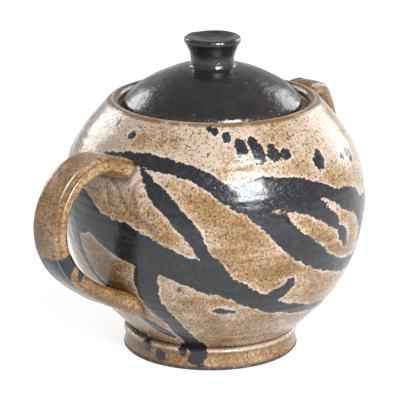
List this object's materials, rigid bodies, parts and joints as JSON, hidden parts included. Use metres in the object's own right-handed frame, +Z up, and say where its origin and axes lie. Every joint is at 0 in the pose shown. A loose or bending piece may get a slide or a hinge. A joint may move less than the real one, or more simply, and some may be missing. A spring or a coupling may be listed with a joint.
{
  "type": "sugar bowl",
  "caption": "Round lidded stoneware bowl on a foot ring, with strap handles and a domed lid that lifts out of a gallery in the mouth.",
  "frame": {"origin": "on the surface that the foot ring stands on, at the centre of the bounding box, which is within about a millimetre of the bowl's turning axis", "axes": "+Z up along the bowl's turning axis; the left handle points along -X, so +X is along the longest extent"},
  "size_m": [0.1806, 0.12, 0.1263],
  "materials": {
    "speckled_glaze": "glossy cream and tan stoneware glaze with fine brown speckles and poured dark slip",
    "foot_glaze": "glossy golden brown glaze, breaking darker in the groove, bare clay where it stands",
    "handle_glaze": "glossy mottled tan and brown glaze that breaks to brown along the edges",
    "dark_glaze": "glossy charcoal black glaze with a fine orange-peel surface",
    "bare_clay": "matt toasted stoneware, unglazed where it meets the gallery"
  },
  "bodies": {
    "bowl": {"bowl_body": "speckled_glaze", "foot_ring": "foot_glaze", "left_handle": "handle_glaze", "right_handle": "handle_glaze"},
    "lid": {"lid_dome": "dark_glaze", "lid_flange": "bare_clay", "lid_knob": "dark_glaze"}
  },
  "joints": [
    {"name": "lid_lift", "type": "slide", "parent": "bowl", "child": "lid", "axis": [0, 0, 1], "range_m": [0, 0.06]}
  ]
}
